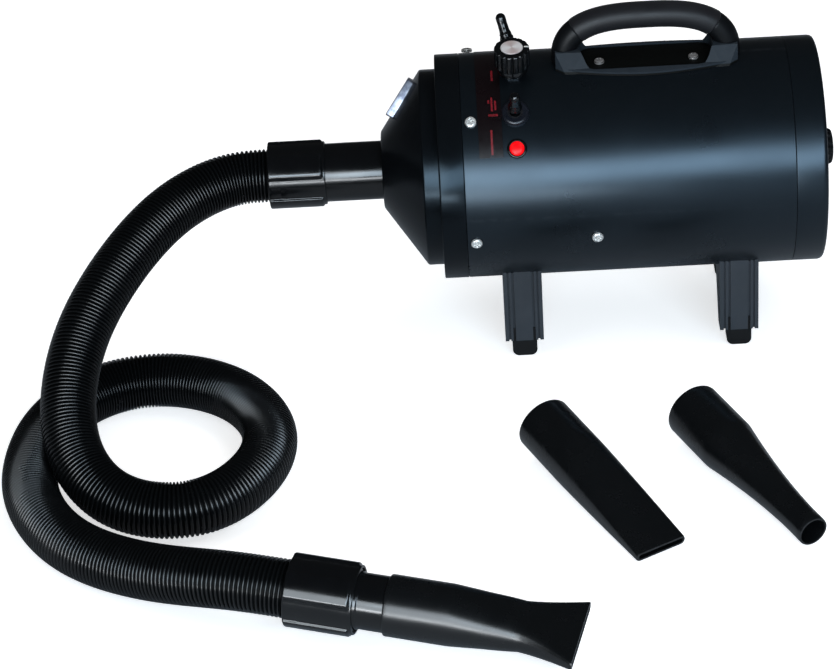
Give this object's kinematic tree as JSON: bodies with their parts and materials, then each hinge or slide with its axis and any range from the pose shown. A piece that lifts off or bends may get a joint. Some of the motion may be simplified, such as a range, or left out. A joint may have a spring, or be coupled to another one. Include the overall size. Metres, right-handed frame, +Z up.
{
  "type": "pet dryer",
  "caption": "Tubular blower on four feet with a carrying handle, a corrugated hose with a fan nozzle, and loose flat and round nozzles.",
  "frame": {"origin": "on the floor, under the middle of the blower and its two loose nozzles, hose left out", "axes": "+X along the blower from outlet to air inlet, +Z up, -Y the side with the controls' lamp and the nozzles"},
  "size_m": [0.6619, 0.5833, 0.283],
  "materials": {
    "tube_paint": "gloss",
    "cap_plastic": "gloss",
    "black_plastic": "satin",
    "saddle_plastic": "satin",
    "grip_rubber": "matte",
    "foot_plastic": "satin",
    "foot_rubber": "matte",
    "silver_plate": "satin",
    "screw_steel": "bright",
    "plain_steel": "satin",
    "label_film": "satin",
    "knob_plastic": "gloss",
    "knob_metal": "turned",
    "toggle_boot": "gloss",
    "switch_case": "gloss",
    "lamp_red": "clear red",
    "copper_winding": "enamelled",
    "aluminium_fan": "satin",
    "gasket_rubber": "matte",
    "mica_board": "matte",
    "heater_wire": "oxidised",
    "circuit_board": "satin",
    "foam": "open foam",
    "hose_plastic": "satin",
    "nozzle_plastic": "satin gloss"
  },
  "bodies": {
    "dryer": {"body_tube": "tube_paint", "front_cap": "cap_plastic", "outlet_spigot": "black_plastic", "name_plate": "silver_plate", "rear_ring": "cap_plastic", "stud_bridge": "plain_steel", "filter_foam": "foam", "handle_saddle": "saddle_plastic", "handle_bow": "black_plastic", "handle_grip": "grip_rubber", "handle_screws": "screw_steel", "foot_front_near": "foot_plastic", "foot_front_far": "foot_plastic", "foot_rear_near": "foot_plastic", "foot_rear_far": "foot_plastic", "foot_tip_front_near": "foot_rubber", "foot_tip_front_far": "foot_rubber", "foot_tip_rear_near": "foot_rubber", "foot_tip_rear_far": "foot_rubber", "foot_screws": "screw_steel", "ring_screws": "screw_steel", "mount_screws": "screw_steel", "control_label": "label_film", "speed_pot": "plain_steel", "pot_nut": "plain_steel", "heater_switch": "switch_case", "heater_switch_ring": "plain_steel", "power_switch": "switch_case", "power_switch_ring": "plain_steel", "lamp_body": "black_plastic", "lamp_bezel": "black_plastic", "lamp_lens": "lamp_red", "motor_can": "plain_steel", "motor_bearings": "plain_steel", "motor_bracket": "plain_steel", "fan_housing": "aluminium_fan", "fan_gasket": "gasket_rubber", "heater_frame": "mica_board", "heater_coil": "heater_wire", "thermal_cutout": "aluminium_fan", "control_board": "circuit_board", "cable_gland": "black_plastic"},
    "knob": {"speed_knob": "knob_plastic", "knob_cap": "knob_metal", "pot_shaft": "plain_steel"},
    "heater_lever": {"heater_toggle": "toggle_boot"},
    "power_lever": {"power_toggle": "toggle_boot"},
    "rotor": {"motor_shaft": "plain_steel", "armature": "copper_winding", "impeller": "aluminium_fan"},
    "filter_cover": {"filter_grille": "black_plastic"},
    "cover_screw": {"cover_knob": "black_plastic"},
    "hose_set": {"hose_cuff_front": "nozzle_plastic", "hose": "hose_plastic", "hose_cuff_rear": "nozzle_plastic", "wand_tube": "nozzle_plastic"},
    "fan_tip": {"fan_nozzle": "nozzle_plastic"},
    "flat_tip": {"flat_nozzle": "nozzle_plastic"},
    "round_tip": {"round_nozzle": "nozzle_plastic"}
  },
  "joints": [
    {"name": "speed_turn", "type": "hinge", "parent": "dryer", "child": "knob", "pos_m": [-0.0335, 0.11421, 0.23463], "axis": [0, -0.1736, 0.9848], "range_deg": [-270, 0]},
    {"name": "heater_flip", "type": "hinge", "parent": "dryer", "child": "heater_lever", "pos_m": [-0.0335, 0.15492, 0.23347], "axis": [0, 0.9613, -0.2756], "range_deg": [0, 28]},
    {"name": "power_flip", "type": "hinge", "parent": "dryer", "child": "power_lever", "pos_m": [-0.0335, 0.07634, 0.21962], "axis": [0, 0.809, 0.5878], "range_deg": [-14, 14]},
    {"name": "rotor_spin", "type": "hinge", "parent": "dryer", "child": "rotor", "pos_m": [0.0645, 0.12983, 0.146], "axis": [1, 0, 0], "continuous": true},
    {"name": "filter_pull", "type": "slide", "parent": "dryer", "child": "filter_cover", "axis": [1, 0, 0], "range_m": [0, 0.05]},
    {"name": "cover_screw_turn", "type": "hinge", "parent": "filter_cover", "child": "cover_screw", "pos_m": [0.2115, 0.12983, 0.146], "axis": [1, 0, 0], "continuous": true},
    {"name": "hose_pull", "type": "slide", "parent": "dryer", "child": "hose_set", "axis": [-1, 0, 0], "range_m": [0, 0.06]},
    {"name": "fan_tip_pull", "type": "slide", "parent": "hose_set", "child": "fan_tip", "axis": [0.9676, -0.2419, -0.0726], "range_m": [0, 0.06]},
    {"name": "flat_tip_lift", "type": "slide", "parent": "dryer", "child": "flat_tip", "axis": [0, 0, 1], "range_m": [0, 0.15]},
    {"name": "round_tip_lift", "type": "slide", "parent": "dryer", "child": "round_tip", "axis": [0, 0, 1], "range_m": [0, 0.15]}
  ]
}
